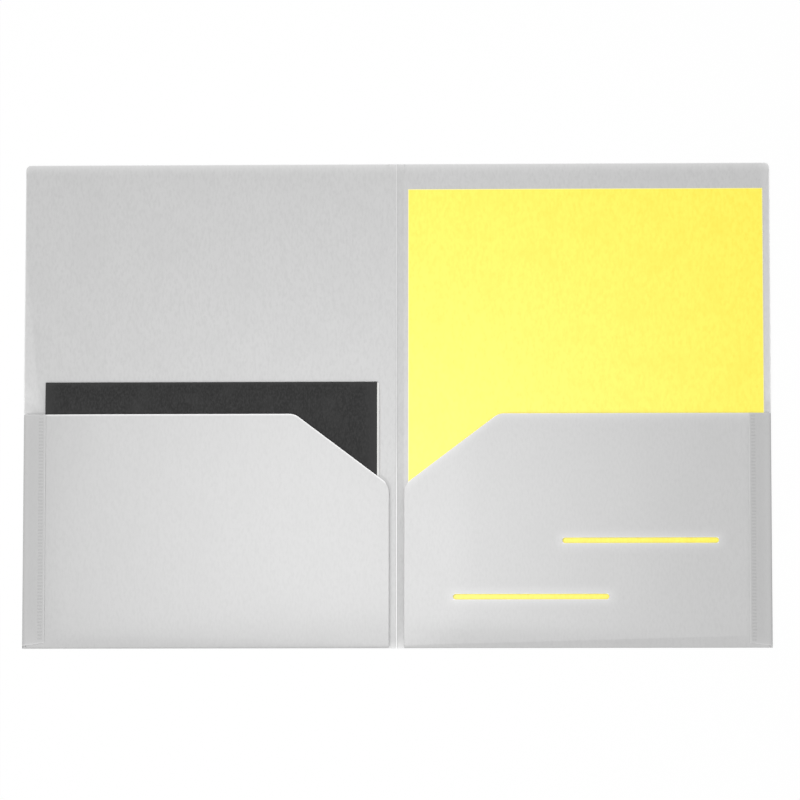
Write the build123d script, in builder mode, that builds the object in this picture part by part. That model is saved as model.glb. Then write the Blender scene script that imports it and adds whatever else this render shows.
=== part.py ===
from build123d import *
import os
from math import pi

# Two pocket folder of poly sheet, lying open and flat, with a letter sheet in its right pocket and a
# booklet in its left one. The real folder is one die-cut sheet. It is split here at its creases: two
# covers, the strip that bends at the spine, two pockets turned up from the bottom edge, and the side
# tabs that are turned in over the pockets and welded to them.
# X runs to the right, Y up the page and Z off the table. The origin is under the middle of the spine.

# Poly sheet
poly_thickness = 0.5
cover_top_corner_radius = 3.0
cover_foot_corner_radius = 1.0

# Letter sheet
letter_width = 215.9
letter_height = 279.4
letter_thickness = 0.25

# Booklet, lying on its side with its bound edge at the foot of the pocket
booklet_length = 202.0
booklet_width = 160.5
booklet_card_thickness = 0.3
booklet_bound_edge_radius = 0.25
page_block_thickness = 1.0
page_overhang = 1.2
page_setback = 0.8

# Room around what the pockets hold
slide_clearance = 0.05
pocket_play = 0.4
foot_clearance = 0.2
letter_spine_margin = 7.0
letter_side_margin = 4.1
letter_top_margin = 15.55
booklet_spine_margin = 10.7
booklet_side_margin = 4.1
closing_clearance = 0.45

# Pocket panels, each with a slanted cut at the spine side of its mouth
pocket_height = 142.4
pocket_spine_clearance = 0.2
mouth_cut_width = 57.4
mouth_cut_depth = 43.2
mouth_upper_radius = 9.7
mouth_lower_radius = 9.5

# Card slits in the right pocket, placed from the spine and from the foot
card_slit_length = 94.7
card_slit_width = 3.5
upper_slit_from_spine = 147.7
upper_slit_height = 65.1
lower_slit_from_spine = 81.4
lower_slit_height = 31.0

# Side tabs and the dashes of their welds
tab_width = 13.4
tab_end_slant = 1.9
fold_end_gap = 0.2
corner_land = 1.0
weld_from_tab_edge = 3.0
weld_dash_length = 2.9
weld_dash_width = 1.0
weld_dash_depth = 0.2
weld_pitch = 2.0
weld_end_margin = 1.6

# Scored crease, pressed up as a low bead along the middle of the spine strip
crease_bead_width = 1.2
crease_bead_height = 0.2

# Heights of the two halves
booklet_thickness = 2 * booklet_card_thickness + page_block_thickness
left_gap = slide_clearance + booklet_thickness + pocket_play
right_gap = slide_clearance + letter_thickness + pocket_play
sheets_in_half = 3
left_stack = sheets_in_half * poly_thickness + left_gap
right_stack = sheets_in_half * poly_thickness + right_gap

# The folder turns about the middle of the closed stack, and the strip is as wide as its half circle
fold_axis_height = (left_stack + right_stack + closing_clearance) / 2
spine_strip_width = pi * (fold_axis_height - poly_thickness / 2)
cover_spine_edge = spine_strip_width / 2
pocket_spine_edge = cover_spine_edge + pocket_spine_clearance

# Covers, wide enough for the larger of the two things that they hold
width_for_letter = letter_spine_margin + letter_width + letter_side_margin
width_for_booklet = booklet_spine_margin + page_overhang + booklet_length + booklet_side_margin
cover_width = max(width_for_letter, width_for_booklet)
letter_foot_height = poly_thickness + right_gap / 2 + foot_clearance
cover_height = letter_foot_height + letter_height + letter_top_margin
foot_y = -cover_height / 2
pocket_top_y = foot_y + pocket_height
paper_z = poly_thickness + slide_clearance


class Half:
    """One half of the folder: which way it lies from the spine, and the sizes that follow its gap."""

    def __init__(self, name, side, gap):
        self.name = name
        self.side = side
        self.pocket_z = poly_thickness + gap
        self.tab_z = self.pocket_z + poly_thickness
        self.bottom_radius = self.tab_z / 2
        self.side_radius = (self.tab_z + poly_thickness) / 2
        self.pocket_foot_y = foot_y + self.bottom_radius
        self.side_fold_x = cover_width - self.side_radius
        self.pocket_outer_edge = self.side_fold_x - corner_land
        self.tab_foot_y = self.pocket_foot_y + fold_end_gap

    def across(self, distance):
        """X of a point at this distance from the spine."""
        return self.side * distance


def make_cover(half):
    """Flat cover, cut back where the bottom fold and the side fold take over from it."""
    width = cover_width - cover_spine_edge
    bottom_cut_start = pocket_spine_edge - fold_end_gap
    bottom_cut_end = half.pocket_outer_edge + fold_end_gap
    side_cut_foot = half.tab_foot_y - fold_end_gap
    side_cut_top = pocket_top_y + fold_end_gap
    with BuildPart() as cover:
        with BuildSketch():
            with Locations((half.across(cover_spine_edge + width / 2), 0)):
                Rectangle(width, cover_height)
            outer_corners = vertices().sort_by(Axis.X, reverse=half.side > 0)[:2].sort_by(Axis.Y)
            fillet(outer_corners[0], radius=cover_foot_corner_radius)
            top_corners = vertices().sort_by(Axis.Y)[-2:]
            fillet(top_corners.sort_by(Axis.X)[-1 if half.side > 0 else 0], radius=cover_top_corner_radius)
            with Locations((half.across((bottom_cut_start + bottom_cut_end) / 2), foot_y)):
                Rectangle(
                    bottom_cut_end - bottom_cut_start,
                    half.bottom_radius,
                    align=(Align.CENTER, Align.MIN),
                    mode=Mode.SUBTRACT,
                )
            with Locations((half.across(cover_width - half.side_radius / 2), side_cut_foot)):
                Rectangle(
                    half.side_radius,
                    side_cut_top - side_cut_foot,
                    align=(Align.CENTER, Align.MIN),
                    mode=Mode.SUBTRACT,
                )
        extrude(amount=poly_thickness)
    return cover


def make_bottom_fold(half):
    """Half round fold that turns the cover's bottom edge up into the pocket."""
    start = half.across(pocket_spine_edge)
    centre = (half.pocket_foot_y, half.bottom_radius)
    with BuildPart() as fold:
        with BuildSketch(Plane.YZ.offset(start)):
            with BuildLine():
                outside = CenterArc(centre, half.bottom_radius, 90, 180)
                inside = CenterArc(centre, half.bottom_radius - poly_thickness, 90, 180)
                Line(outside @ 0, inside @ 0)
                Line(outside @ 1, inside @ 1)
            make_face()
        extrude(amount=half.across(half.pocket_outer_edge) - start)
    return fold


def make_pocket(half, slits):
    """Pocket panel with its slanted mouth, and slits where it holds a card."""
    inner = half.across(pocket_spine_edge)
    outer = half.across(half.pocket_outer_edge)
    mouth_top = (half.across(pocket_spine_edge + mouth_cut_width), pocket_top_y)
    mouth_foot = (inner, pocket_top_y - mouth_cut_depth)
    with BuildPart() as pocket:
        with BuildSketch(Plane.XY.offset(half.pocket_z)):
            with BuildLine():
                FilletPolyline(
                    (outer, pocket_top_y),
                    mouth_top,
                    mouth_foot,
                    (inner, half.pocket_foot_y),
                    radius=[mouth_upper_radius, mouth_lower_radius],
                )
                Polyline((inner, half.pocket_foot_y), (outer, half.pocket_foot_y), (outer, pocket_top_y))
            make_face()
            for from_spine, height in slits:
                with Locations((half.across(from_spine), foot_y + height)):
                    SlotOverall(card_slit_length, card_slit_width, mode=Mode.SUBTRACT)
        extrude(amount=poly_thickness)
    return pocket


def make_side_fold(half):
    """Half round fold that turns the cover's outer edge up and over the pocket's edge."""
    centre = (half.across(half.side_fold_x), half.side_radius)
    start_angle = -90 if half.side > 0 else 90
    with BuildPart() as fold:
        with BuildSketch(Plane.XZ.offset(-pocket_top_y)):
            with BuildLine():
                outside = CenterArc(centre, half.side_radius, start_angle, 180)
                inside = CenterArc(centre, half.side_radius - poly_thickness, start_angle, 180)
                Line(outside @ 0, inside @ 0)
                Line(outside @ 1, inside @ 1)
            make_face()
        extrude(amount=pocket_top_y - half.tab_foot_y)
    return fold


def make_side_tab(half):
    """Tab that lies on the pocket panel, with a slanted foot and a column of pressed weld dashes."""
    fold_x = half.across(half.side_fold_x)
    free_x = half.across(cover_width - tab_width)
    free_foot_y = half.tab_foot_y + tab_end_slant
    weld_x = half.across(cover_width - tab_width + weld_from_tab_edge)
    weld_room = pocket_top_y - free_foot_y - 2 * weld_end_margin
    weld_count = int(weld_room / weld_pitch) + 1
    with BuildPart() as tab:
        with BuildSketch(Plane.XY.offset(half.tab_z)):
            with BuildLine():
                Polyline(
                    (fold_x, half.tab_foot_y),
                    (free_x, free_foot_y),
                    (free_x, pocket_top_y),
                    (fold_x, pocket_top_y),
                    close=True,
                )
            make_face()
        extrude(amount=poly_thickness)
        with BuildSketch(Plane.XY.offset(half.tab_z + poly_thickness)):
            with Locations((weld_x, (free_foot_y + pocket_top_y) / 2)):
                with GridLocations(0, weld_pitch, 1, weld_count):
                    Rectangle(weld_dash_length, weld_dash_width)
        extrude(amount=-weld_dash_depth, mode=Mode.SUBTRACT)
    return tab


def save(piece, name):
    """Label one finished piece and write it to its own file."""
    piece.part.label = name
    export_step(piece.part, f"parts/{name}.step")


os.makedirs("parts", exist_ok=True)

left_half = Half("left", -1, left_gap)
right_half = Half("right", 1, right_gap)
card_slits = [(upper_slit_from_spine, upper_slit_height), (lower_slit_from_spine, lower_slit_height)]

for half, slits in ((left_half, []), (right_half, card_slits)):
    save(make_cover(half), f"{half.name}_cover")
    save(make_bottom_fold(half), f"{half.name}_bottom_fold")
    save(make_pocket(half, slits), f"{half.name}_pocket")
    save(make_side_fold(half), f"{half.name}_side_fold")
    save(make_side_tab(half), f"{half.name}_side_tab")

# Spine strip: flat sheet with the crease pressed up along its middle
with BuildPart() as spine_strip:
    with BuildSketch(Plane.XZ.offset(-cover_height / 2)):
        with Locations((0, poly_thickness / 2)):
            Rectangle(spine_strip_width, poly_thickness)
        with BuildLine():
            bead_start = (-crease_bead_width / 2, poly_thickness)
            bead_end = (crease_bead_width / 2, poly_thickness)
            ThreePointArc(bead_start, (0, poly_thickness + crease_bead_height), bead_end)
            Line(bead_end, bead_start)
        make_face()
        with BuildLine():
            groove_start = (-crease_bead_width / 2, 0)
            groove_end = (crease_bead_width / 2, 0)
            ThreePointArc(groove_start, (0, crease_bead_height), groove_end)
            Line(groove_end, groove_start)
        make_face(mode=Mode.SUBTRACT)
    extrude(amount=cover_height)
save(spine_strip, "spine_strip")

# Letter sheet: one flat sheet, resting on the right cover with its foot at the bottom fold
with BuildPart() as letter_sheet:
    with BuildSketch(Plane.XY.offset(paper_z)):
        with Locations((letter_spine_margin, foot_y + letter_foot_height)):
            Rectangle(letter_width, letter_height, align=(Align.MIN, Align.MIN))
    extrude(amount=letter_thickness)
save(letter_sheet, "letter_sheet")

# Booklet: a card cover folded round its page block, which stands out a little at the spine side
booklet_inner_end = booklet_spine_margin + page_overhang
booklet_foot_y = left_half.pocket_foot_y + foot_clearance
with BuildPart() as booklet_cover:
    with BuildSketch(Plane.YZ.offset(-booklet_inner_end)):
        with Locations((booklet_foot_y, paper_z)):
            Rectangle(booklet_width, booklet_thickness, align=(Align.MIN, Align.MIN))
        bound_corners = vertices().sort_by(Axis.Y)[:2]
        fillet(bound_corners, radius=booklet_bound_edge_radius)
        with Locations((booklet_foot_y + booklet_card_thickness, paper_z + booklet_card_thickness)):
            Rectangle(
                booklet_width - booklet_card_thickness,
                page_block_thickness,
                align=(Align.MIN, Align.MIN),
                mode=Mode.SUBTRACT,
            )
    extrude(amount=-booklet_length)
save(booklet_cover, "booklet_cover")

with BuildPart() as booklet_pages:
    with BuildSketch(Plane.XY.offset(paper_z + booklet_card_thickness)):
        with Locations((-booklet_spine_margin, booklet_foot_y + booklet_card_thickness)):
            Rectangle(
                booklet_length,
                booklet_width - booklet_card_thickness - page_setback,
                align=(Align.MAX, Align.MIN),
            )
    extrude(amount=page_block_thickness)
save(booklet_pages, "booklet_pages")

print("cover", round(cover_width, 3), "by", round(cover_height, 3))
print("fold axis height", round(fold_axis_height, 4), "spine strip width", round(spine_strip_width, 4))
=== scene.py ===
import math

import bmesh
import bpy
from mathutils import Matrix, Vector
from mathutils.kdtree import KDTree
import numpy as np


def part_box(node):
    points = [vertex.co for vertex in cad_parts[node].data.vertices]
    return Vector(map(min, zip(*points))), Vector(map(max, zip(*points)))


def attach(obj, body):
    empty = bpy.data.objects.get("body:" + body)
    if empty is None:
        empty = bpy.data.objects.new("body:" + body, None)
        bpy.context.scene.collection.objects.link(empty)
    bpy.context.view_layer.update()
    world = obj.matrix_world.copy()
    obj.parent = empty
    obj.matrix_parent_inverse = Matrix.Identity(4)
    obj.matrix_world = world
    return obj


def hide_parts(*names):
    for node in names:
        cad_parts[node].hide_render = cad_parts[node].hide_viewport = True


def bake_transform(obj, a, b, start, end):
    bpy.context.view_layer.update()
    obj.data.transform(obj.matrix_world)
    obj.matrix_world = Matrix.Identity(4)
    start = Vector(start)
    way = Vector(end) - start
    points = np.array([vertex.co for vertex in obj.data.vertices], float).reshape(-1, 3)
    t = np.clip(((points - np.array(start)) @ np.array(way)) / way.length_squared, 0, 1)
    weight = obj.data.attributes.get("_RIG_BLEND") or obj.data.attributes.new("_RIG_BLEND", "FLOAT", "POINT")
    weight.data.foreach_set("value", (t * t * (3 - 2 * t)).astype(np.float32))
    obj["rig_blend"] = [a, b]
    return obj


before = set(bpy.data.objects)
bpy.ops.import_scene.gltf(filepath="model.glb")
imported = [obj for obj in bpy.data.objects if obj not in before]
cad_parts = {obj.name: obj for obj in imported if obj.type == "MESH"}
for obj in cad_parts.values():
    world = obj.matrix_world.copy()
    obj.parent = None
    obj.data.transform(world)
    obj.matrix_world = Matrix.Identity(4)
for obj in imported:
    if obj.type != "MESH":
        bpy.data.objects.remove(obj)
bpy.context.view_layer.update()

# Covers
# The two halves of one die-cut sheet of grey poly, lying flat on the table. Their inside face shows, which
# is rolled with a fine streaky grain. Near the side folds their outer edges are sprung up a little.
mm = 0.001
tolerance = 0.001 * mm
merge_distance = 0.0001 * mm
sides = {"left": -1, "right": 1}
cover_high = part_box("right_cover")[1]
poly_thickness = cover_high.z
cover_edge = cover_high.x
cover_top = cover_high.y
cover_foot = -cover_high.y
spine_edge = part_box("right_cover")[0].x
top_corner_radius = 3 * mm
foot_corner_blunting = 0.3 * mm
fold_end_gap = 0.2 * mm

# Cut edges, with the steps round their rim in shares of the thickness and of the bulge. The painted glow is
# a paler band of painted light along the edges that run across the sheet, for light coming through the poly
cut_edge_bulge = 0.06 * mm
edge_whitening_width = 0.5 * mm
painted_glow_width = 7 * mm
rim_profile = ((0.15, 0.7), (0.5, 1.0), (0.85, 0.7))
cross_edge_facing = 0.6
sharp_turn = math.radians(60)

# The tent at the crease: its height by distance from the crease, both in mm, and where it comes and goes
ridge_left_end = 10.5
ridge_right_end = 4.4
ridge_profiles = {
    "above": {"left": [(0, 0.3), (ridge_left_end, 0)], "right": [(0, 0.3), (ridge_right_end, 0)]},
    "between": {
        "left": [(0, 0.5), (4.6, 0.3), (ridge_left_end, 0)],
        "right": [(0, 0.5), (ridge_right_end, 0)],
    },
}
ridge_starts = cover_foot + 1 * mm
ridge_full = cover_foot + 14 * mm
between_ends = cover_foot + 90 * mm
above_starts = cover_foot + 106 * mm

# Where the outer edges are sprung up and by how many degrees, and how the left one runs out upwards
edge_springs = {
    "left": {"from_spine": 214.5 * mm, "turn": 6.6, "runs_out": True},
    "right": {"from_spine": 223.1 * mm, "turn": 8.4, "runs_out": False},
}
spring_full_height = 16 * mm
spring_run_out_height = 110 * mm
spring_run_out_power = 0.55

# Spacing of the mesh, with degrees for arcs
arc_step = 15
panel_step = 5 * mm
edge_zone = 15 * mm
edge_step = 1.5 * mm
fold_end_zone = 8 * mm
fold_end_step = 1 * mm
top_zone = 8 * mm
top_rows = 4

# Patterns in the poly: cells per metre, and the range of the noise over which the shade comes in
streak_scale = 820
streak_stretch = (1, 0.43, 1)
streak_range = (0.42, 0.72)
mottle_scale = 45
mottle_range = (0.4, 1.4)
grain_scale = 2600
grain_strength = 0.35
poly_ior = 1.49


def stations(marks, step):
    """Values through all the marks in turn, evenly spaced between them and no further apart than step."""
    values = [marks[0]]
    for start, stop in zip(marks, marks[1:]):
        count = max(1, math.ceil(abs(stop - start) / step))
        values += [start + (stop - start) * k / count for k in range(1, count + 1)]
    return values


def arc_turns(start, stop):
    """Angles from start to stop in steps of arc_step, given in degrees and returned in radians."""
    step = arc_step if stop > start else -arc_step
    return [math.radians(turn) for turn in range(start, stop + step, step)]


def ease(value, start, stop):
    """0 before start, 1 after stop and a smooth step between them."""
    part = min(1, max(0, (value - start) / (stop - start)))
    return part * part * (3 - 2 * part)


def new_object(name, data):
    """Object of the scene that shows a mesh, a lamp or a camera."""
    thing = bpy.data.objects.new(name, data)
    bpy.context.scene.collection.objects.link(thing)
    return thing


def sheet_piece(
    name, grid, thickness, finishes, gone=(), patches=(), seam=None, rim_bulge=cut_edge_bulge,
    white_width=edge_whitening_width, white_sides=True, glow=True,
):
    """Closed piece of sheet with rounded cut edges. The grid holds columns of points on the face that
    shows, gone the cells that are cut out and patches extra faces. A rim edge for which seam is true joins
    the next panel and stays square. The other edges whiten over white_width, without white_sides only those
    that run across the sheet, and with glow the latter also get a painted glow: painted light, paler over a
    wide band."""
    shape = bmesh.new()
    columns = [[shape.verts.new(place) for place in column] for column in grid]
    for i, (here, there) in enumerate(zip(columns, columns[1:])):
        for j in range(len(here) - 1):
            if (i, j) not in gone:
                shape.faces.new((here[j], there[j], there[j + 1], here[j + 1]))
    top_face = shape.faces[:][-1]
    top_face.normal_update()
    flipped = top_face.normal.z < 0
    for patch in patches:
        corners = [shape.verts.new(place) for place in patch]
        shape.faces.new(corners[::-1] if flipped else corners)
    if flipped:
        bmesh.ops.reverse_faces(shape, faces=shape.faces[:])
    bmesh.ops.delete(shape, geom=[v for v in shape.verts if not v.link_faces], context="VERTS")
    bmesh.ops.remove_doubles(shape, verts=shape.verts[:], dist=merge_distance)
    shape.normal_update()

    # A new layer moves the ones before it, so the first is looked up again after the second
    shape.verts.layers.float.new("cut_edge")
    painted_glow_layer = shape.verts.layers.float.new("painted_edge_glow")
    whitened = shape.verts.layers.float["cut_edge"]
    shown_faces = shape.faces[:]
    shown_verts = shape.verts[:]
    rim_edges = [edge for edge in shape.edges if len(edge.link_faces) == 1]

    # Which way each rim point faces, and which points are held by a seam
    outward = {}
    held = set()
    for edge in rim_edges:
        face = edge.link_faces[0]
        along = (edge.verts[1].co - edge.verts[0].co).normalized()
        out = along.cross(face.normal)
        middle = (edge.verts[0].co + edge.verts[1].co) / 2
        if out.dot(middle - face.calc_center_median()) < 0:
            out = -out
        for vert in edge.verts:
            outward[vert] = outward.get(vert, Vector()) + out
            if seam and seam(middle):
                held.add(vert)

    # How pale each point is for the cut edge and for the painted glow, by its distance from the nearest
    # edge of each kind
    free_rim = [vert for vert in outward if vert not in held]
    cross_rim = [vert for vert in free_rim if abs(outward[vert].normalized().y) > cross_edge_facing]
    for layer, rim_verts, width, power in (
        (whitened, free_rim if white_sides else cross_rim, white_width, 1),
        (painted_glow_layer, cross_rim if glow else [], painted_glow_width, 2),
    ):
        tree = KDTree(max(1, len(rim_verts)))
        for k, vert in enumerate(rim_verts):
            tree.insert(vert.co, k)
        tree.balance()
        for vert in shown_verts:
            distance = tree.find(vert.co)[2] if rim_verts else width
            vert[layer] = max(0, 1 - distance / width) ** power

    # Back face, and a rounded rim between the two faces
    back = {vert: shape.verts.new(vert.co - vert.normal * thickness) for vert in shown_verts}
    for face in shown_faces:
        reverse = shape.faces.new([back[vert] for vert in reversed(face.verts)])
        reverse.material_index = 1
    rim = {}
    for vert, out in outward.items():
        bulge = 0 if vert in held else rim_bulge
        rim[vert] = [vert]
        for depth, reach in rim_profile:
            place = vert.co - vert.normal * thickness * depth + out.normalized() * bulge * reach
            rim[vert].append(shape.verts.new(place))
            rim[vert][-1][whitened] = 0 if vert in held else vert[whitened]
            rim[vert][-1][painted_glow_layer] = vert[painted_glow_layer]
        rim[vert].append(back[vert])
    for edge in rim_edges:
        loop = edge.link_loops[0]
        start, stop = loop.vert, loop.link_loop_next.vert
        for k in range(len(rim[start]) - 1):
            shape.faces.new((rim[stop][k], rim[start][k], rim[start][k + 1], rim[stop][k + 1]))

    mesh = bpy.data.meshes.new(name)
    shape.to_mesh(mesh)
    shape.free()
    for finish in finishes:
        mesh.materials.append(finish)
    mesh.polygons.foreach_set("use_smooth", [True] * len(mesh.polygons))
    mesh.set_sharp_from_angle(angle=sharp_turn)
    return new_object(name, mesh)


def srgb(red, green, blue):
    """Linear colour of an 8 bit screen colour."""
    parts = [value / 255 for value in (red, green, blue)]
    return [part / 12.92 if part <= 0.04045 else ((part + 0.055) / 1.055) ** 2.4 for part in parts] + [1]


def new_material(name):
    """Plain node material with its nodes, its links and its shader."""
    material = bpy.data.materials.new(name)
    material.use_nodes = True
    nodes = material.node_tree.nodes
    return material, nodes, material.node_tree.links, nodes["Principled BSDF"]


def noise(nodes, links, coordinates, scale, stretch=(1, 1, 1), detail=4):
    """Noise on the piece's own coordinates, in cells per metre, stretched by a mapping."""
    mapping = nodes.new("ShaderNodeMapping")
    mapping.inputs["Scale"].default_value = stretch
    links.new(coordinates, mapping.inputs["Vector"])
    texture = nodes.new("ShaderNodeTexNoise")
    texture.inputs["Scale"].default_value = scale
    texture.inputs["Detail"].default_value = detail
    links.new(mapping.outputs["Vector"], texture.inputs["Vector"])
    return texture.outputs["Fac"]


def ramp_node(nodes, links, value, low, high, start=0, stop=1, course="LINEAR"):
    """A value that goes from start to stop while its input climbs from low to high."""
    ramp = nodes.new("ShaderNodeMapRange")
    ramp.interpolation_type = course
    for label, number in (("From Min", low), ("From Max", high), ("To Min", start), ("To Max", stop)):
        ramp.inputs[label].default_value = number
    links.new(value, ramp.inputs["Value"])
    return ramp.outputs["Result"]


def tinted(nodes, links, base, shade, factor, low, high):
    """Base colour drawn towards a shade where the factor climbs from low to high."""
    share = ramp_node(nodes, links, factor, low, high)
    mix = nodes.new("ShaderNodeMix")
    mix.data_type = "RGBA"
    mix.inputs["B"].default_value = shade
    if isinstance(base, bpy.types.NodeSocket):
        links.new(base, mix.inputs["A"])
    else:
        mix.inputs["A"].default_value = base
    links.new(share, mix.inputs["Factor"])
    return mix.outputs["Result"]


def poly_finish(name, grey, streak_grey, painted_glow_grey, cut_grey, roughness, grain_depth):
    """Matte poly sheet: streaky fine grain, a broad mottle, pale, whitened cut edges, and beside them a
    painted glow that stands in for light coming through the edge.
    """
    material, nodes, links, shader = new_material(name)
    place = nodes.new("ShaderNodeTexCoord").outputs["Object"]
    streaks = noise(nodes, links, place, streak_scale, stretch=streak_stretch)
    mottle = noise(nodes, links, place, mottle_scale, detail=3)
    grain = noise(nodes, links, place, grain_scale, detail=2)
    streak = srgb(streak_grey, streak_grey, streak_grey)
    tone = tinted(nodes, links, srgb(grey, grey, grey), streak, streaks, *streak_range)
    tone = tinted(nodes, links, tone, streak, mottle, *mottle_range)

    # At the edge itself the painted glow comes to half of its grey, and the cut edge to all of its own
    for attribute, edge_grey, full_at in (("painted_edge_glow", painted_glow_grey, 2), ("cut_edge", cut_grey, 1)):
        near_edge = nodes.new("ShaderNodeAttribute")
        near_edge.attribute_name = attribute
        pale = srgb(edge_grey, edge_grey, edge_grey)
        tone = tinted(nodes, links, tone, pale, near_edge.outputs["Fac"], 0, full_at)
    links.new(tone, shader.inputs["Base Color"])
    shader.inputs["Roughness"].default_value = roughness
    shader.inputs["IOR"].default_value = poly_ior
    bump = nodes.new("ShaderNodeBump")
    bump.inputs["Strength"].default_value = grain_strength
    bump.inputs["Distance"].default_value = grain_depth
    links.new(grain, bump.inputs["Height"])
    links.new(bump.outputs["Normal"], shader.inputs["Normal"])
    return material


poly_inside = poly_finish(
    "poly_inside", grey=193, streak_grey=185, painted_glow_grey=226, cut_grey=224,
    roughness=0.37, grain_depth=0.03 * mm,
)
poly_outside = poly_finish(
    "poly_outside", grey=191, streak_grey=186, painted_glow_grey=218, cut_grey=250,
    roughness=0.345, grain_depth=0.02 * mm,
)


def edge_lift(name, from_spine, height):
    """How far a cover is sprung up at this height above its pocket."""
    spring = edge_springs[name]
    bend = spring["from_spine"]
    if spring["runs_out"]:
        bend += (cover_edge - bend) * min(1, max(0, height / spring_run_out_height)) ** spring_run_out_power
    slope = math.tan(math.radians(spring["turn"]))
    return max(0, from_spine - bend) * slope * ease(height, 0, spring_full_height)


def along_profile(profile, distance):
    """Height in a profile of (distance, height) marks in mm, straight between them and 0 past the last."""
    for (start, low), (stop, high) in zip(profile, profile[1:]):
        if start * mm <= distance <= stop * mm:
            return (low + (high - low) * (distance / mm - start) / (stop - start)) * mm
    return 0


def spine_rise(x, y):
    """How far the sheet stands up at the crease: gently from the left, steeply on the right, most between
    the pockets and not at all at the foot."""
    side_name = "left" if x < 0 else "right"
    above = along_profile(ridge_profiles["above"][side_name], abs(x))
    between = along_profile(ridge_profiles["between"][side_name], abs(x))
    rise = between + (above - between) * ease(y, between_ends, above_starts)
    return rise * ease(y, ridge_starts, ridge_full)


for name, side in sides.items():
    pocket_low, pocket_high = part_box(name + "_pocket")
    tab_low, tab_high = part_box(name + "_side_tab")
    bottom_seam = pocket_low.y
    side_seam = max(abs(tab_low.x), abs(tab_high.x))
    bottom_seam_end = max(abs(pocket_low.x), abs(pocket_high.x)) + fold_end_gap
    fold_end_y = pocket_high.y + fold_end_gap
    rounding = [cover_edge - top_corner_radius * (1 - math.sin(turn)) for turn in arc_turns(arc_step, 90)]
    from_spine_lines = stations([spine_edge, ridge_left_end * mm, cover_edge - edge_zone], panel_step)
    from_spine_lines += stations([cover_edge - edge_zone, cover_edge - top_corner_radius], edge_step)[1:]
    from_spine_lines = sorted(set(from_spine_lines + rounding + [bottom_seam_end, side_seam]))
    lower_lines = stations([cover_foot, bottom_seam, fold_end_y - panel_step, fold_end_y], panel_step)
    lower_lines += stations([fold_end_y, fold_end_y + fold_end_zone], fold_end_step)[1:]
    lower_lines += stations([fold_end_y + fold_end_zone, cover_top - top_zone], panel_step)[1:]
    grid = []
    for from_spine in from_spine_lines:
        past_corner = max(0, from_spine - (cover_edge - top_corner_radius))
        corner_drop = top_corner_radius - math.sqrt(max(0, top_corner_radius ** 2 - past_corner ** 2))
        top_edge = cover_top - corner_drop
        upper_room = top_edge - edge_whitening_width - lower_lines[-1]
        upper_lines = [lower_lines[-1] + upper_room * k / top_rows for k in range(1, top_rows + 1)]
        column = []
        for y in lower_lines + upper_lines + [top_edge]:
            lift = edge_lift(name, from_spine, y - fold_end_y) + spine_rise(side * from_spine, y)
            column.append(Vector((side * from_spine, y, poly_thickness + lift)))
        grid.append(column)
    grid[-1][0] += Vector((-side * foot_corner_blunting, foot_corner_blunting, 0))
    gone = set()
    for i, from_spine in enumerate(from_spine_lines[:-1]):
        for j, y in enumerate(lower_lines[:-1]):
            under_fold = from_spine < bottom_seam_end - tolerance and y < bottom_seam - tolerance
            up_the_side = bottom_seam - tolerance < y < fold_end_y - tolerance
            if under_fold or (up_the_side and from_spine > side_seam - tolerance):
                gone.add((i, j))

    def cover_seam(place):
        """Where the cover runs on into the spine strip, the bottom fold or the side fold, and the corner
        between the two folds."""
        from_spine = abs(place.x)
        at_spine = from_spine < spine_edge + tolerance
        at_foot = place.y < bottom_seam + tolerance
        at_side = abs(from_spine - side_seam) < tolerance and place.y < fold_end_y
        return at_spine or at_foot or at_side

    finishes = (poly_inside, poly_outside)
    # Along its top edge the cover takes the painted glow, a paler band of painted light
    cover = sheet_piece(name + "_cover_sheet", grid, poly_thickness, finishes, gone=gone, seam=cover_seam)
    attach(cover, name + "_half")
    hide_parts(name + "_cover")

# Spine strip
# The strip of the same sheet between the two pockets. A scored crease runs up its middle, pressed up as a
# low bead, so the strip stands as a very flat tent and bends when the folder shuts. Along the crease runs a
# painted highlight, strongest between the pockets.
bead_half_width = 0.6 * mm
bead_height = 0.13 * mm
bead_step = 0.3 * mm
# The painted highlight along the crease: its colour, its offset from the crease, the core where it is full
# and the reach where it ends, and how it fades from between the pockets to above them
crease_highlight_white = srgb(242, 242, 242)
crease_shift = -0.05 * mm
crease_highlight_core = 0.1 * mm
crease_highlight_reach = 0.5 * mm
highlight_full_above_foot = 90 * mm
crease_highlight_fade = 45 * mm
crease_highlight_higher_up = 0.36
# Rows near the foot and the head, where the painted glow along those edges changes fastest
painted_glow_marks = [0.25 * mm, 0.5 * mm, 1.3 * mm, 2.5 * mm, 4.5 * mm, painted_glow_width]
foot_marks = [cover_foot] + [cover_foot + mark for mark in painted_glow_marks]
top_marks = [cover_top - mark for mark in reversed(painted_glow_marks)] + [cover_top]
grid = []
for x in stations([-spine_edge, -bead_half_width, bead_half_width, spine_edge], bead_step):
    bead = bead_height * (1 + math.cos(math.pi * min(1, abs(x) / bead_half_width))) / 2
    column = []
    for y in stations(foot_marks + top_marks, panel_step):
        column.append(Vector((x, y, poly_thickness + spine_rise(x, y) + bead)))
    grid.append(column)


def math_node(nodes, links, operation, first, second):
    """One sum of a node tree. Each term is a socket or a number."""
    node = nodes.new("ShaderNodeMath")
    node.operation = operation
    for socket, term in zip(node.inputs, (first, second)):
        if isinstance(term, bpy.types.NodeSocket):
            links.new(term, socket)
        else:
            socket.default_value = term
    return node.outputs["Value"]


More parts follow.
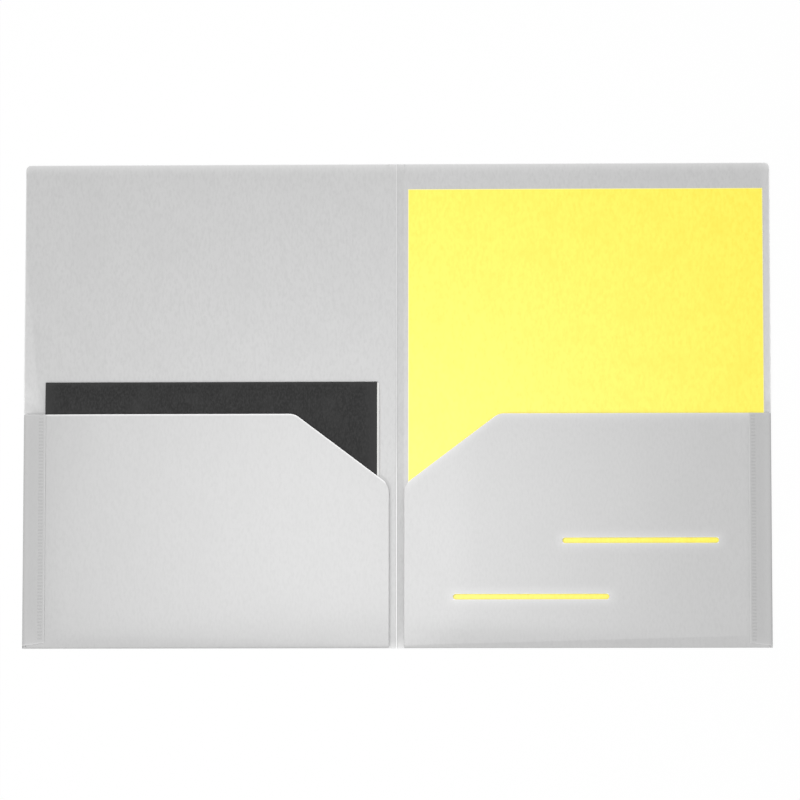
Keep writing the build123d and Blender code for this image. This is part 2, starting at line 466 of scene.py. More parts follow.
# Painted highlight along the crease, strongest between the pockets
poly_crease_painted_highlight = poly_inside.copy()
poly_crease_painted_highlight.name = "poly_crease_painted_highlight"
nodes = poly_crease_painted_highlight.node_tree.nodes
links = poly_crease_painted_highlight.node_tree.links
crease_shader = nodes["Principled BSDF"]
strip_place = nodes.new("ShaderNodeSeparateXYZ")
links.new(nodes["Texture Coordinate"].outputs["Object"], strip_place.inputs["Vector"])
highlight_full_end = cover_foot + highlight_full_above_foot
up_strip = strip_place.outputs["Y"]
crease_highlight_strength = ramp_node(nodes, links, up_strip, highlight_full_end, highlight_full_end + crease_highlight_fade, 1, crease_highlight_higher_up, "SMOOTHSTEP")
from_crease = math_node(nodes, links, "SUBTRACT", strip_place.outputs["X"], crease_shift)
from_crease = math_node(nodes, links, "ABSOLUTE", from_crease, 0)
whitening = ramp_node(nodes, links, from_crease, crease_highlight_core, crease_highlight_reach, 1, 0, "SMOOTHSTEP")
whitening = math_node(nodes, links, "MULTIPLY", whitening, crease_highlight_strength)
tone = crease_shader.inputs["Base Color"].links[0].from_socket
tone = tinted(nodes, links, tone, crease_highlight_white, whitening, 0, 1)
links.new(tone, crease_shader.inputs["Base Color"])

spine = sheet_piece(
    "spine_strip_sheet",
    grid,
    poly_thickness,
    (poly_crease_painted_highlight, poly_outside),
    seam=lambda place: abs(place.x) > spine_edge - tolerance,
)
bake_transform(spine, "left_half", "right_half", start=(-spine_edge, 0, 0), end=(spine_edge, 0, 0))
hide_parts("spine_strip")

# Pockets
# The lower part of the sheet, folded up along the bottom edge so that its smoother outside face shows. Each
# panel rises from a tight fold over what it holds and dips again under the side tab. The right one is
# punched with two round ended slits that hold a card.
mouth_cut_width = 57.4 * mm
mouth_cut_depth = 43.2 * mm
mouth_upper_radius = 9.7 * mm
mouth_lower_radius = 9.5 * mm
mouth_whitening = {"left": 0.8 * mm, "right": 0.25 * mm}
slit_length = 94.7 * mm
slit_width = 3.5 * mm
slit_places = {"left": [], "right": [(81.4 * mm, 31 * mm), (147.7 * mm, 65.1 * mm)]}
fold_radii = {"left": 1 * mm, "right": 0.68 * mm}

# Height of the panels by distance from the spine, both in mm
panel_heights = {
    "left": [(0, 2.75), (70, 2.9), (190, 2.95), (225, 2)],
    "right": [(0, 1.7), (45, 2.5), (140, 2.4), (212, 2), (225, 1.4)],
}
left_edge_bend = 3.3

# The further rise towards the mouth, which the spine side and the tab hold down
mouth_heights = {name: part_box(name + "_pocket")[1].y for name in sides}
mouth_rises = {"left": 0.55 * mm, "right": 0.1 * mm}
mouth_rise_starts = cover_foot + 30 * mm
mouth_held_at_spine = 45 * mm
mouth_held_at_tab = (180 * mm, 225 * mm)

# The rise above the fold and the bend low in it, each with a value at the spine and one further out. The
# change and the fade lie between two distances from the spine.
fold_rise_lengths = {"left": (30 * mm, 38 * mm), "right": (20 * mm, 14 * mm)}
fold_rise_change = (40 * mm, 140 * mm)
foot_crease_places = {"left": (3 * mm, 7.5 * mm), "right": (0.8 * mm, 6.8 * mm)}
foot_crease_slopes = {"left": (-0.02, 0.155), "right": (0.06, 0.115)}
foot_crease_fades = (200 * mm, 224 * mm)
crease_round = 0.3 * mm

# Spacing of the mesh, and the room kept free of other lines beside the slits
mouth_arc_steps = 9
panel_edge_start = 200 * mm
panel_edge_step = 1.6 * mm
crease_zone = 10 * mm
near_fold_zone = 10 * mm
near_fold_step = 1.2 * mm
under_mouth_margin = 3 * mm
upper_rows = 12
slit_end_room = 1 * mm
slit_glow_room = 0.5 * mm


def across_panel(at_spine, at_outer_edge, from_spine):
    """Value between the one at the spine and the one at the outer edge."""
    return at_spine + (at_outer_edge - at_spine) * from_spine / cover_edge


def foot_crease(name, from_spine):
    """How far above the fold a panel is bent by what it holds."""
    return across_panel(*foot_crease_places[name], from_spine)


def panel_top(name, from_spine, y):
    """Height of the upper face of a pocket panel."""
    marks = panel_heights[name]
    height = marks[-1][1] * mm
    for (start, low), (stop, high) in zip(marks, marks[1:]):
        if start * mm <= from_spine <= stop * mm:
            part = ease(from_spine, start * mm, stop * mm)
            # The left panel stays high and dips late
            if name == "left" and stop == marks[-1][0]:
                part = ((from_spine / mm - start) / (stop - start)) ** left_edge_bend
            height = (low + (high - low) * part) * mm
    past_start = max(0, y - mouth_rise_starts) / (mouth_heights[name] - mouth_rise_starts)
    held_sides = ease(from_spine, 0, mouth_held_at_spine) * (1 - ease(from_spine, *mouth_held_at_tab))
    height += mouth_rises[name] * past_start ** 2 * held_sides
    from_fold = max(0, y - cover_foot - fold_radii[name])
    spine_length, outer_length = fold_rise_lengths[name]
    rise_length = spine_length + (outer_length - spine_length) * ease(from_spine, *fold_rise_change)
    risen = 1 - (1 - min(1, from_fold / rise_length)) ** 2
    crease = foot_crease(name, from_spine)
    crease_slope = across_panel(*foot_crease_slopes[name], from_spine)
    crease_slope *= 1 - ease(from_spine, *foot_crease_fades)
    # The right panel is creased by the edge of what it holds, the left one bends softly
    sloped = min(from_fold, crease)
    if name == "left":
        sloped = crease * (1 - math.exp(-from_fold / crease))
    fold_height = 2 * fold_radii[name]
    start_height = fold_height + crease_slope * sloped
    return start_height + (height - fold_height - crease_slope * crease) * risen


fold_turns = arc_turns(-90, -270)
for name, side in sides.items():
    pocket_low, pocket_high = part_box(name + "_pocket")
    bottom_seam_y = pocket_low.y
    panel_spine_edge = min(abs(pocket_low.x), abs(pocket_high.x))
    panel_outer_edge = max(abs(pocket_low.x), abs(pocket_high.x))
    mouth_y = pocket_high.y
    slant = math.atan2(mouth_cut_depth, mouth_cut_width)
    lower_turn = math.pi / 2 - slant
    lower_tangent = mouth_lower_radius * math.tan(lower_turn / 2)
    upper_tangent = mouth_upper_radius * math.tan(slant / 2)
    lower_centre = (panel_spine_edge + mouth_lower_radius, mouth_y - mouth_cut_depth - lower_tangent)
    upper_centre = (panel_spine_edge + mouth_cut_width + upper_tangent, mouth_y - mouth_upper_radius)
    slant_start = panel_spine_edge + lower_tangent * math.cos(slant)
    slant_end = upper_centre[0] - mouth_upper_radius * math.sin(slant)

    def mouth_edge(from_spine):
        """Y of the panel's cut edge: an arc, the slant, another arc and the straight mouth."""
        if from_spine <= slant_start:
            reach = mouth_lower_radius ** 2 - (from_spine - lower_centre[0]) ** 2
            return lower_centre[1] + math.sqrt(max(0, reach))
        if from_spine < slant_end:
            return mouth_y - mouth_cut_depth + (from_spine - panel_spine_edge) * math.tan(slant)
        if from_spine < upper_centre[0]:
            reach = mouth_upper_radius ** 2 - (from_spine - upper_centre[0]) ** 2
            return upper_centre[1] + math.sqrt(reach)
        return mouth_y

    # Lines up the panel, closer together at the two roundings of the mouth and near the tab
    from_spine_lines = []
    for k in range(mouth_arc_steps + 1):
        turn = lower_turn * k / mouth_arc_steps
        from_spine_lines.append(lower_centre[0] - mouth_lower_radius * math.cos(turn))
    from_spine_lines += stations([slant_start, slant_end], panel_step)[1:]
    for k in range(1, mouth_arc_steps + 1):
        turn = slant * (1 - k / mouth_arc_steps)
        from_spine_lines.append(upper_centre[0] - mouth_upper_radius * math.sin(turn))
    from_spine_lines += stations([upper_centre[0], panel_edge_start], panel_step)[1:]
    from_spine_lines += stations([panel_edge_start, panel_outer_edge], panel_edge_step)[1:]

    # Lines across the panel, and those of the slits added to both kinds
    fold_radius = fold_radii[name]
    fold_centre_y = cover_foot + fold_radius
    panel_split_y = lower_centre[1] - painted_glow_width - under_mouth_margin
    past_crease = fold_centre_y + crease_zone
    near_fold = stations([past_crease, past_crease + near_fold_zone], near_fold_step)
    panel_lines = near_fold + stations([near_fold[-1], panel_split_y], panel_step)[1:]
    slits = []
    for slit_middle, slit_height in slit_places[name]:
        slit_y = cover_foot + slit_height
        ends = (slit_middle - slit_length / 2, slit_middle + slit_length / 2)
        lips = (slit_y - slit_width / 2, slit_y + slit_width / 2)
        slits.append((ends, lips))
        end_lines = ends + (ends[0] + slit_width / 2, ends[1] - slit_width / 2)
        beside = [ends[0] - edge_whitening_width, ends[1] + edge_whitening_width]
        from_spine_lines = [
            line for line in from_spine_lines if all(abs(line - end) > slit_end_room for end in end_lines)
        ]
        from_spine_lines = sorted(from_spine_lines + list(end_lines) + beside)
        slit_reach = slit_width / 2 + painted_glow_width + slit_glow_room
        below = [lips[0] - mark for mark in painted_glow_marks]
        above = [lips[1] + mark for mark in painted_glow_marks]
        panel_lines = [y for y in panel_lines if abs(y - slit_y) > slit_reach]
        panel_lines = sorted(panel_lines + [lips[0], slit_y, lips[1]] + below + above)

    grid = []
    for from_spine in from_spine_lines:
        x = side * from_spine
        column = [Vector((x, bottom_seam_y, 0))]
        for turn in fold_turns[:-1]:
            y = fold_centre_y + fold_radius * math.cos(turn)
            column.append(Vector((x, y, fold_radius * (1 + math.sin(turn)))))
        crease_y = fold_centre_y + foot_crease(name, from_spine)
        crease_lines = [fold_centre_y, (fold_centre_y + crease_y) / 2, crease_y - crease_round, crease_y]
        crease_lines += [crease_y + crease_round, (crease_y + past_crease) / 2]
        edge = mouth_edge(from_spine)
        near_edge = [edge - mark for mark in reversed(painted_glow_marks)]
        upper_room = near_edge[0] - panel_split_y
        upper_lines = [panel_split_y + upper_room * k / upper_rows for k in range(1, upper_rows)]
        for y in crease_lines + panel_lines + upper_lines + near_edge + [edge]:
            column.append(Vector((x, y, panel_top(name, from_spine, y))))
        grid.append(column)

    # The slits: cells taken out, and their corners filled up to the round ends
    first_panel_row = len(fold_turns) + len(crease_lines)
    gone = set()
    patches = []
    for ends, lips in slits:
        for i, from_spine in enumerate(from_spine_lines[:-1]):
            for j, y in enumerate(panel_lines[:-1]):
                in_length = ends[0] - tolerance < from_spine < ends[1] - tolerance
                in_width = lips[0] - tolerance < y < lips[1] - tolerance
                if in_length and in_width:
                    gone.add((i, first_panel_row + j))
        slit_y = sum(lips) / 2
        for end, inward in ((ends[0], 1), (ends[1], -1)):
            for lip, upward in ((lips[0], -1), (lips[1], 1)):
                arc = []
                for turn in arc_turns(0, 90):
                    from_spine = end + inward * slit_width / 2 * (1 - math.cos(turn))
                    y = slit_y + upward * slit_width / 2 * math.sin(turn)
                    arc.append(Vector((side * from_spine, y, panel_top(name, from_spine, y))))
                corner = Vector((side * end, lip, panel_top(name, end, lip)))
                for start, stop in zip(arc, arc[1:]):
                    turned = (corner - start).cross(stop - start).z > 0
                    patches.append((start, corner, stop) if turned else (start, stop, corner))

    def pocket_seam(place):
        """Where the pocket runs on into the cover."""
        return abs(place.y - bottom_seam_y) < tolerance and place.z < tolerance

    # Only the right panel gets the painted glow at its edges: painted light for the light that the bright
    # sheet it holds throws up from below
    pocket = sheet_piece(
        name + "_pocket_sheet",
        grid,
        poly_thickness,
        (poly_outside, poly_inside),
        gone=gone,
        patches=patches,
        seam=pocket_seam,
        white_width=mouth_whitening[name],
        white_sides=False,
        glow=name == "right",
    )
    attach(pocket, name + "_half")
    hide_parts(name + "_pocket", name + "_bottom_fold")

# Side tabs
# A narrow flap at each outer edge of the cover, folded in over the pocket panel and welded to it by a
# column of short dashes that a hot bar presses into the flap.
tab_gap = 0.03 * mm
tab_end_slant = 1.9 * mm
tab_fold_width = 1.2 * mm
tab_step = 1.5 * mm
tab_foot_rows = 3
weld_from_tab_edge = 2.6 * mm
weld_dash_length = 2.9 * mm
weld_dash_width = 1 * mm
weld_dash_depth = 0.1 * mm
weld_floor_scale = 0.86
weld_pitch = 2 * mm
weld_end_margin = 1.6 * mm
facing_up = 0.5


def new_tree(name, inputs):
    """Geometry tree with its nodes, its links and its inputs: the geometry, and others by name and kind."""
    tree = bpy.data.node_groups.new(name, "GeometryNodeTree")
    tree.interface.new_socket("Geometry", in_out="INPUT", socket_type="NodeSocketGeometry")
    for label, kind in inputs.items():
        tree.interface.new_socket(label, in_out="INPUT", socket_type="NodeSocket" + kind)
    tree.interface.new_socket("Geometry", in_out="OUTPUT", socket_type="NodeSocketGeometry")
    return tree, tree.nodes, tree.links, tree.nodes.new("NodeGroupInput").outputs


def weld_dash_tree():
    """Sinks every face of the weld column that lies within a dash."""
    inputs = ("Column X", "First Dash Y", "Dash Length", "Dash Width", "Pitch", "Depth")
    inputs = {label: "Float" for label in inputs} | {"Pressed Poly": "Material"}
    tree, nodes, links, given = new_tree("weld_dashes", inputs)
    place = nodes.new("ShaderNodeSeparateXYZ")
    links.new(nodes.new("GeometryNodeInputPosition").outputs["Position"], place.inputs["Vector"])
    facing = nodes.new("ShaderNodeSeparateXYZ")
    links.new(nodes.new("GeometryNodeInputNormal").outputs["Normal"], facing.inputs["Vector"])
    aside = math_node(nodes, links, "SUBTRACT", place.outputs["X"], given["Column X"])
    aside = math_node(nodes, links, "ABSOLUTE", aside, 0)
    half_length = math_node(nodes, links, "MULTIPLY", given["Dash Length"], 0.5)
    in_column = math_node(nodes, links, "LESS_THAN", aside, half_length)
    along = math_node(nodes, links, "SUBTRACT", place.outputs["Y"], given["First Dash Y"])
    past_first = math_node(nodes, links, "GREATER_THAN", along, 0)
    phase = math_node(nodes, links, "FLOORED_MODULO", along, given["Pitch"])
    in_dash = math_node(nodes, links, "LESS_THAN", phase, given["Dash Width"])
    upward = math_node(nodes, links, "GREATER_THAN", facing.outputs["Z"], facing_up)
    chosen = in_column
    for test in (in_dash, upward, past_first):
        chosen = math_node(nodes, links, "MULTIPLY", chosen, test)
    sink = nodes.new("GeometryNodeExtrudeMesh")
    sink.inputs["Individual"].default_value = False
    links.new(given["Geometry"], sink.inputs["Mesh"])
    links.new(chosen, sink.inputs["Selection"])
    links.new(math_node(nodes, links, "MULTIPLY", given["Depth"], -1), sink.inputs["Offset Scale"])
    narrow = nodes.new("GeometryNodeScaleElements")
    narrow.inputs["Scale"].default_value = weld_floor_scale
    links.new(sink.outputs["Mesh"], narrow.inputs["Geometry"])
    links.new(sink.outputs["Top"], narrow.inputs["Selection"])
    walls = nodes.new("GeometryNodeSetShadeSmooth")
    walls.inputs["Shade Smooth"].default_value = False
    links.new(narrow.outputs["Geometry"], walls.inputs["Geometry"])
    links.new(sink.outputs["Side"], walls.inputs["Selection"])
    # The floors take the darker poly, which carries painted shade
    pressed = nodes.new("GeometryNodeSetMaterial")
    links.new(walls.outputs["Geometry"], pressed.inputs["Geometry"])
    links.new(sink.outputs["Top"], pressed.inputs["Selection"])
    links.new(given["Pressed Poly"], pressed.inputs["Material"])
    realize = nodes.new("GeometryNodeRealizeInstances")
    links.new(pressed.outputs["Geometry"], realize.inputs["Geometry"])
    links.new(realize.outputs["Geometry"], nodes.new("NodeGroupOutput").inputs["Geometry"])
    return tree


def run_tree(piece, tree, values):
    """Run a node tree on a piece and keep its result as the piece's plain mesh."""
    modifier = piece.modifiers.new(tree.name, "NODES")
    modifier.node_group = tree
    for socket in tree.interface.items_tree:
        if socket.in_out == "INPUT" and socket.name in values:
            modifier[socket.identifier] = values[socket.name]
    bpy.context.view_layer.update()
    evaluated = piece.evaluated_get(bpy.context.evaluated_depsgraph_get())
    mesh = bpy.data.meshes.new_from_object(evaluated)
    piece.modifiers.remove(modifier)
    piece.data = mesh


weld_dashes = weld_dash_tree()
# The tab shows a darker copy of the outside poly: painted shade, as the tab slopes down away from the light
poly_tab_painted_shade = poly_finish(
    "poly_tab_painted_shade", grey=187, streak_grey=184, painted_glow_grey=191, cut_grey=206,
    roughness=0.36, grain_depth=0.02 * mm,
)
# The dash floors are smoother, and painted darker still: painted shade in the pressed hollows
poly_pressed_painted_shade = poly_finish(
    "poly_pressed_painted_shade", grey=180, streak_grey=177, painted_glow_grey=184, cut_grey=200,
    roughness=0.33, grain_depth=0.01 * mm,
)

for name, side in sides.items():
    tab_low, tab_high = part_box(name + "_side_tab")
    pocket_low, pocket_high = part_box(name + "_pocket")
    tab_seam = max(abs(tab_low.x), abs(tab_high.x))
    tab_edge = min(abs(tab_low.x), abs(tab_high.x))
    panel_outer_edge = max(abs(pocket_low.x), abs(pocket_high.x))
    tab_foot = tab_low.y
    tab_head = tab_high.y
    free_foot = tab_foot + tab_end_slant
    weld_middle = tab_edge + weld_from_tab_edge
    weld_room = tab_head - free_foot - 2 * weld_end_margin
    weld_count = int(weld_room / weld_pitch) + 1
    first_dash = (free_foot + tab_head) / 2 - (weld_count - 1) / 2 * weld_pitch - weld_dash_width / 2

    def tab_top(from_spine, y):
        """Height of the tab's upper face, which lies on the pocket panel."""
        return panel_top(name, min(from_spine, panel_outer_edge), y) + tab_gap + poly_thickness

    dash_lines = []
    for k in range(weld_count):
        dash_lines += [first_dash + k * weld_pitch, first_dash + k * weld_pitch + weld_dash_width]
    head_lines = [tab_head - edge_whitening_width, tab_head]

    def tab_column(from_spine, fold_turn=None, on_table=False):
        """Points up the tab: on the table at its seam, at one turn round the side fold, or on the panel."""
        start = tab_foot + tab_end_slant * max(0, (tab_seam - from_spine) / (tab_seam - tab_edge))
        lowest = [start + (dash_lines[0] - start) * k / tab_foot_rows for k in range(tab_foot_rows)]
        column = []
        for y in lowest + dash_lines + head_lines:
            radius = tab_top(cover_edge, y) / 2
            if on_table:
                place = (from_spine, 0)
            elif fold_turn is None:
                place = (min(from_spine, cover_edge - radius), tab_top(from_spine, y))
            else:
                turned_out = radius * math.cos(fold_turn)
                place = (cover_edge - radius + turned_out, radius * (1 + math.sin(fold_turn)))
            column.append(Vector((side * place[0], y, place[1])))
        return column

    grid = [tab_column(tab_seam, on_table=True)]
    for turn in arc_turns(-90, 90):
        grid.append(tab_column(tab_seam, fold_turn=turn))
    weld_sides = [weld_middle + weld_dash_length / 2, weld_middle - weld_dash_length / 2]
    top_marks = [cover_edge - tab_fold_width] + weld_sides + [tab_edge + edge_whitening_width, tab_edge]
    for from_spine in stations(top_marks, tab_step)[1:]:
        grid.append(tab_column(from_spine))

    def tab_seam_here(place):
        """Where the tab's fold runs on into the cover."""
        return abs(abs(place.x) - tab_seam) < tolerance and place.z < tolerance

    tab = sheet_piece(
        name + "_side_tab_sheet", grid, poly_thickness, (poly_tab_painted_shade, poly_inside), seam=tab_seam_here
    )
    tab.data.materials.append(poly_pressed_painted_shade)
    run_tree(tab, weld_dashes, {
        "Column X": side * weld_middle,
        "First Dash Y": first_dash,
        "Dash Length": weld_dash_length,
        "Dash Width": weld_dash_width,
        "Pitch": weld_pitch,
        "Depth": weld_dash_depth,
        "Pressed Poly": poly_pressed_painted_shade,
    })
    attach(tab, name + "_half")
    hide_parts(name + "_side_tab", name + "_side_fold")

# Letter sheet
# One sheet of yellow card stock, cut to letter size, lying loose on the right cover with its foot at the
# bottom fold. Its uncoated face shows fine fibres.
letter_low, letter_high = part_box("letter_sheet")
letter_thickness = letter_high.z - letter_low.z
letter_step = 6 * mm
letter_arch_height = 0.4 * mm
letter_arch_side = 45 * mm
letter_arch_foot = 30 * mm
letter_arch_head = 60 * mm

# Patterns in paper, as in the poly
fibre_stretch = (1, 0.5, 1)
fibre_range = (0.4, 0.75)
cloud_scale = 60
cloud_range = (0.5, 0.95)
tooth_strength = 0.3


def paper_finish(name, colour, fibre, roughness, sheen, fibre_scale, fibre_depth, cut_colour):
    """Uncoated paper: fibres and clouds in the colour, paler cut edges, faint sheen and a little tooth."""
    material, nodes, links, shader = new_material(name)
    place = nodes.new("ShaderNodeTexCoord").outputs["Object"]
    fibres = noise(nodes, links, place, fibre_scale, stretch=fibre_stretch, detail=5)
    clouds = noise(nodes, links, place, cloud_scale, detail=3)
    tone = tinted(nodes, links, colour, fibre, fibres, *fibre_range)
    tone = tinted(nodes, links, tone, fibre, clouds, *cloud_range)
    near_edge = nodes.new("ShaderNodeAttribute")
    near_edge.attribute_name = "cut_edge"
    tone = tinted(nodes, links, tone, cut_colour, near_edge.outputs["Fac"], 0, 1)
    links.new(tone, shader.inputs["Base Color"])
    shader.inputs["Roughness"].default_value = roughness
    shader.inputs["Specular IOR Level"].default_value = sheen
    bump = nodes.new("ShaderNodeBump")
    bump.inputs["Strength"].default_value = tooth_strength
    bump.inputs["Distance"].default_value = fibre_depth
    links.new(fibres, bump.inputs["Height"])
    links.new(bump.outputs["Normal"], shader.inputs["Normal"])
    return material


def edged_stations(start, stop, step):
    """Evenly spaced values with one more just inside each end, where the cut edge is paler."""
    return stations([start, start + edge_whitening_width, stop - edge_whitening_width, stop], step)


def flat_grid(columns, rows, top):
    """Columns of points over a rectangle at one height."""
    return [[Vector((x, y, top)) for y in rows] for x in columns]


letter_grid = flat_grid(
    edged_stations(letter_low.x, letter_high.x, letter_step),
    edged_stations(letter_low.y, letter_high.y, letter_step),
    letter_high.z,
)
letter_arch_end = letter_low.y + 2 * letter_arch_foot
for column in letter_grid:
    for place in column:
        across = ease(min(place.x - letter_low.x, letter_high.x - place.x), 0, letter_arch_side)
        along = ease(place.y - letter_low.y, 0, letter_arch_foot)
        along *= 1 - ease(place.y, letter_arch_end, letter_arch_end + letter_arch_head)
        place.z += letter_arch_height * across * along
yellow_paper = paper_finish(
    "yellow_paper",
    colour=srgb(255, 243, 77),
    fibre=srgb(252, 233, 62),
    roughness=0.375,
    sheen=0.55,
    fibre_scale=600,
    fibre_depth=0.02 * mm,
    cut_colour=srgb(255, 250, 190),
)
letter = sheet_piece(
    "letter_sheet_paper", letter_grid, letter_thickness, (yellow_paper, yellow_paper), rim_bulge=0.02 * mm
)
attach(letter, "letter")
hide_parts("letter_sheet")

# Booklet cover
# One piece of matte black card with plain faces, folded round the pages along the foot of the pocket and
# pressed thinner there. It lies loose in the left pocket.
card_low, card_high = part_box("booklet_cover")
pages_low, pages_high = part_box("booklet_pages")
card_thickness = card_high.z - pages_high.z
booklet_thickness = card_high.z - card_low.z
bound_thickness = 0.85 * mm
bound_length = 40 * mm
bound_rise_length = bound_length / 3
bound_radius = bound_thickness / 2
bound_centre = card_low.y + bound_radius
head_thinning = 0.7 * mm
head_length = 12 * mm
card_step = 10 * mm
card_end_step = 2 * mm


def booklet_top(y):
    """Height of the booklet's upper face, which thins towards the bound edge and a little at the head."""
    part = 1 - math.exp(-(y - bound_centre) / bound_rise_length)
    thinned = head_thinning * ease(y, card_high.y - head_length, card_high.y)
    return card_low.z + bound_thickness + (booklet_thickness - bound_thickness) * part - thinned


card_lines = stations([bound_centre, bound_centre + bound_length], card_end_step)
card_lines += stations([card_lines[-1], card_high.y - head_length], card_step)[1:]
card_lines += stations([card_lines[-1], card_high.y], card_end_step)[1:]
grid = []
for x in stations([card_low.x, card_high.x], card_step):
    column = [Vector((x, y, card_low.z)) for y in reversed(card_lines)]
    for turn in arc_turns(-90, -270)[1:-1]:
        y = bound_centre + bound_radius * math.cos(turn)
        column.append(Vector((x, y, card_low.z + bound_radius * (1 + math.sin(turn)))))
    column += [Vector((x, y, booklet_top(y))) for y in card_lines]
    grid.append(column)
black_card = paper_finish(
    "black_card",
    colour=srgb(14, 14, 14),
    fibre=srgb(44, 44, 44),
    roughness=0.65,
    sheen=0.3,
    fibre_scale=1100,
    fibre_depth=0.02 * mm,
    cut_colour=srgb(40, 40, 40),
)
booklet_cover = sheet_piece(
    "booklet_cover_card", grid, card_thickness, (black_card, black_card), rim_bulge=0.03 * mm
)
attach(booklet_cover, "booklet")
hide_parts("booklet_cover")

# Booklet pages
# A thin block of white paper leaves, bound in the fold of the card cover. The leaves stand out at the spine
# side by a millimetre, not quite evenly.
leaf_count = 10
leaf_pitch = (pages_high.z - pages_low.z) / leaf_count
leaf_thickness = 0.8 * leaf_pitch
leaf_top_share = 0.9
leaf_unevenness = 0.12 * mm
leaf_step = 20 * mm
leaf_seed = 7


def leaf_tree():
    """Stacks copies of one leaf, each shifted a little within its plane."""
    inputs = {"Leaves": "Int", "Pitch": "Float", "Unevenness": "Float", "Paper": "Material"}
    tree, nodes, links, given = new_tree("page_leaves", inputs)
    step = nodes.new("ShaderNodeCombineXYZ")
    links.new(given["Pitch"], step.inputs["Z"])
    stack = nodes.new("GeometryNodeMeshLine")
    links.new(given["Leaves"], stack.inputs["Count"])
    links.new(step.outputs["Vector"], stack.inputs["Offset"])
    shift = nodes.new("FunctionNodeRandomValue")
    shift.data_type = "FLOAT_VECTOR"
    shift.inputs["Min"].default_value = (-1, -1, 0)
    shift.inputs["Max"].default_value = (1, 0, 0)
    shift.inputs["Seed"].default_value = leaf_seed
    scaled = nodes.new("ShaderNodeVectorMath")
    scaled.operation = "SCALE"
    links.new(shift.outputs["Value"], scaled.inputs["Vector"])
    links.new(given["Unevenness"], scaled.inputs["Scale"])
    spread = nodes.new("GeometryNodeSetPosition")
    links.new(stack.outputs["Mesh"], spread.inputs["Geometry"])
    links.new(scaled.outputs["Vector"], spread.inputs["Offset"])
    leaves = nodes.new("GeometryNodeInstanceOnPoints")
    links.new(spread.outputs["Geometry"], leaves.inputs["Points"])
    links.new(given["Geometry"], leaves.inputs["Instance"])
    realize = nodes.new("GeometryNodeRealizeInstances")
    links.new(leaves.outputs["Instances"], realize.inputs["Geometry"])
    paper = nodes.new("GeometryNodeSetMaterial")
    links.new(realize.outputs["Geometry"], paper.inputs["Geometry"])
    links.new(given["Paper"], paper.inputs["Material"])
    links.new(paper.outputs["Geometry"], nodes.new("NodeGroupOutput").inputs["Geometry"])
    return tree


white_paper = paper_finish(
    "white_paper",
    colour=srgb(244, 244, 242),
    fibre=srgb(236, 236, 233),
    roughness=0.85,
    sheen=0.25,
    fibre_scale=1400,
    fibre_depth=0.01 * mm,
    cut_colour=srgb(240, 240, 238),
)
leaf_foot = bound_centre + leaf_unevenness
leaf_head = pages_high.y
leaf_rows = [y for y in card_lines if leaf_foot < y < leaf_head]
leaf_grid = flat_grid(
    edged_stations(pages_low.x + leaf_unevenness, pages_high.x - leaf_unevenness, leaf_step),
    [leaf_foot] + leaf_rows + [leaf_head - edge_whitening_width, leaf_head],
    pages_low.z + leaf_pitch * leaf_top_share,
)
pages = sheet_piece(
    "booklet_page_leaves", leaf_grid, leaf_thickness, (white_paper, white_paper), rim_bulge=0.01 * mm
)
run_tree(pages, leaf_tree(), {
    "Leaves": leaf_count,
    "Pitch": leaf_pitch,
    "Unevenness": leaf_unevenness,
    "Paper": white_paper,
})

# The stack follows the card, so it thins towards the bound edge and the head
for vert in pages.data.vertices:
    room = booklet_top(vert.co.y) - card_low.z - 2 * card_thickness
    vert.co.z = pages_low.z + (vert.co.z - pages_low.z) * room / (pages_high.z - pages_low.z)
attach(pages, "booklet")
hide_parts("booklet_pages")

# Table, light and camera
# A white table that shows white to the camera and keeps a faint shadow, a soft light above the left pocket,
# a weaker one far to the lower left, an even fill from all round, and a camera almost straight above.
table_drop = 0.3 * mm
table_size = 6
table_shadow_share = 0.1
fill_strength = 0.475
lamps = {
    "softbox": {"place": (-0.0728, 0.0078, 1.2), "size": (0.288, 0.24), "power": 6, "turn": (0, 0, 0)},
    "side_light": {"place": (-4.8, -3.9, 6), "size": (0.9, 0.9), "power": 144, "turn": (26.9, -38.7, 0)},
}
camera_place = (0.0891, -0.3346, 3.0)
camera_turn = (6.42, 1.661, 0.018)
camera_lens = 223.51
camera_reach = 20

table_mesh = bpy.data.meshes.new("table")
half = table_size / 2
outline = ((-half, -half), (half, -half), (half, half), (-half, half))
table_mesh.from_pydata([(x, y, -table_drop) for x, y in outline], [], [(0, 1, 2, 3)])
table = new_object("table", table_mesh)


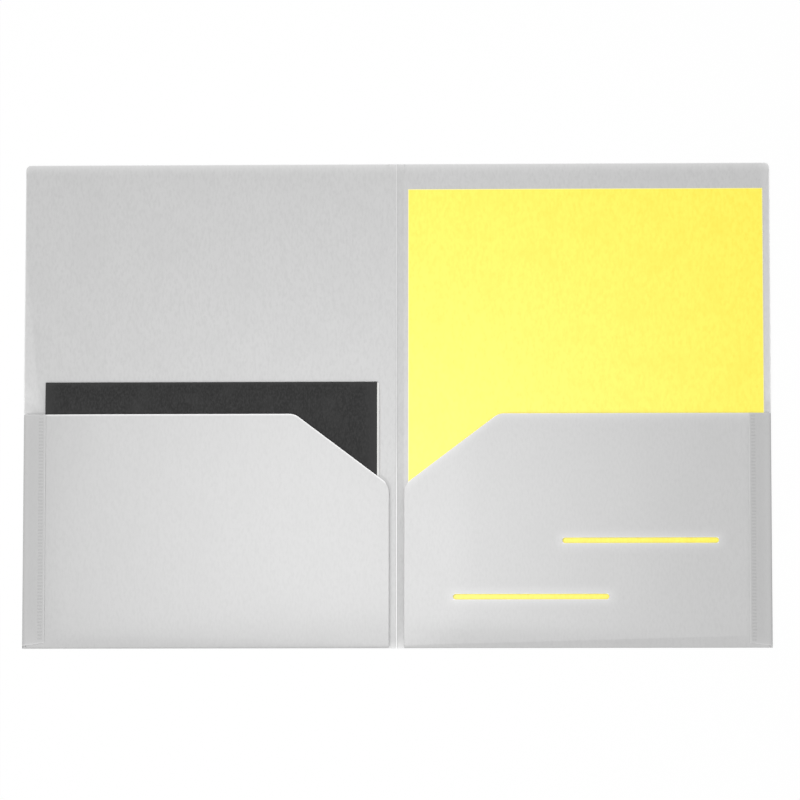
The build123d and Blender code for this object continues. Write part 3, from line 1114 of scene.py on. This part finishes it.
def seen_rays(nodes, links):
    """1 for rays that see the background: from the camera, off gloss or through glass."""
    rays = nodes.new("ShaderNodeLightPath").outputs
    seen = math_node(nodes, links, "MAXIMUM", rays["Is Camera Ray"], rays["Is Glossy Ray"])
    return math_node(nodes, links, "MAXIMUM", seen, rays["Is Transmission Ray"])


table_material, nodes, links = new_material("white_table")[:3]
nodes.clear()
lit = nodes.new("ShaderNodeBsdfDiffuse")
lit.inputs["Color"].default_value = srgb(254, 254, 254)
glow = nodes.new("ShaderNodeEmission")
glow.inputs["Strength"].default_value = 1
glow_share = math_node(nodes, links, "MULTIPLY", seen_rays(nodes, links), 1 - table_shadow_share)
blend = nodes.new("ShaderNodeMixShader")
links.new(glow_share, blend.inputs["Fac"])
links.new(lit.outputs["BSDF"], blend.inputs[1])
links.new(glow.outputs["Emission"], blend.inputs[2])
links.new(blend.outputs["Shader"], nodes.new("ShaderNodeOutputMaterial").inputs["Surface"])
table_mesh.materials.append(table_material)

world = bpy.data.worlds.new("studio")
bpy.context.scene.world = world
world.use_nodes = True
nodes = world.node_tree.nodes
links = world.node_tree.links
backdrop = nodes["Background"]
backdrop.inputs["Color"].default_value = (1, 1, 1, 1)
extra = math_node(nodes, links, "MULTIPLY", seen_rays(nodes, links), 1 - fill_strength)
links.new(math_node(nodes, links, "ADD", extra, fill_strength), backdrop.inputs["Strength"])

for name, values in lamps.items():
    lamp = bpy.data.lights.new(name, "AREA")
    lamp.shape = "RECTANGLE"
    lamp.size, lamp.size_y = values["size"]
    lamp.energy = values["power"]
    lamp_object = new_object(name, lamp)
    lamp_object.location = values["place"]
    lamp_object.rotation_euler = [math.radians(turn) for turn in values["turn"]]
    lamp_object.visible_camera = False

camera = bpy.data.cameras.new("camera")
camera.lens = camera_lens
camera.clip_end = camera_reach
camera_object = new_object("camera", camera)
camera_object.location = camera_place
camera_object.rotation_euler = [math.radians(turn) for turn in camera_turn]
bpy.context.scene.camera = camera_object
bpy.context.scene.view_settings.view_transform = "Standard"
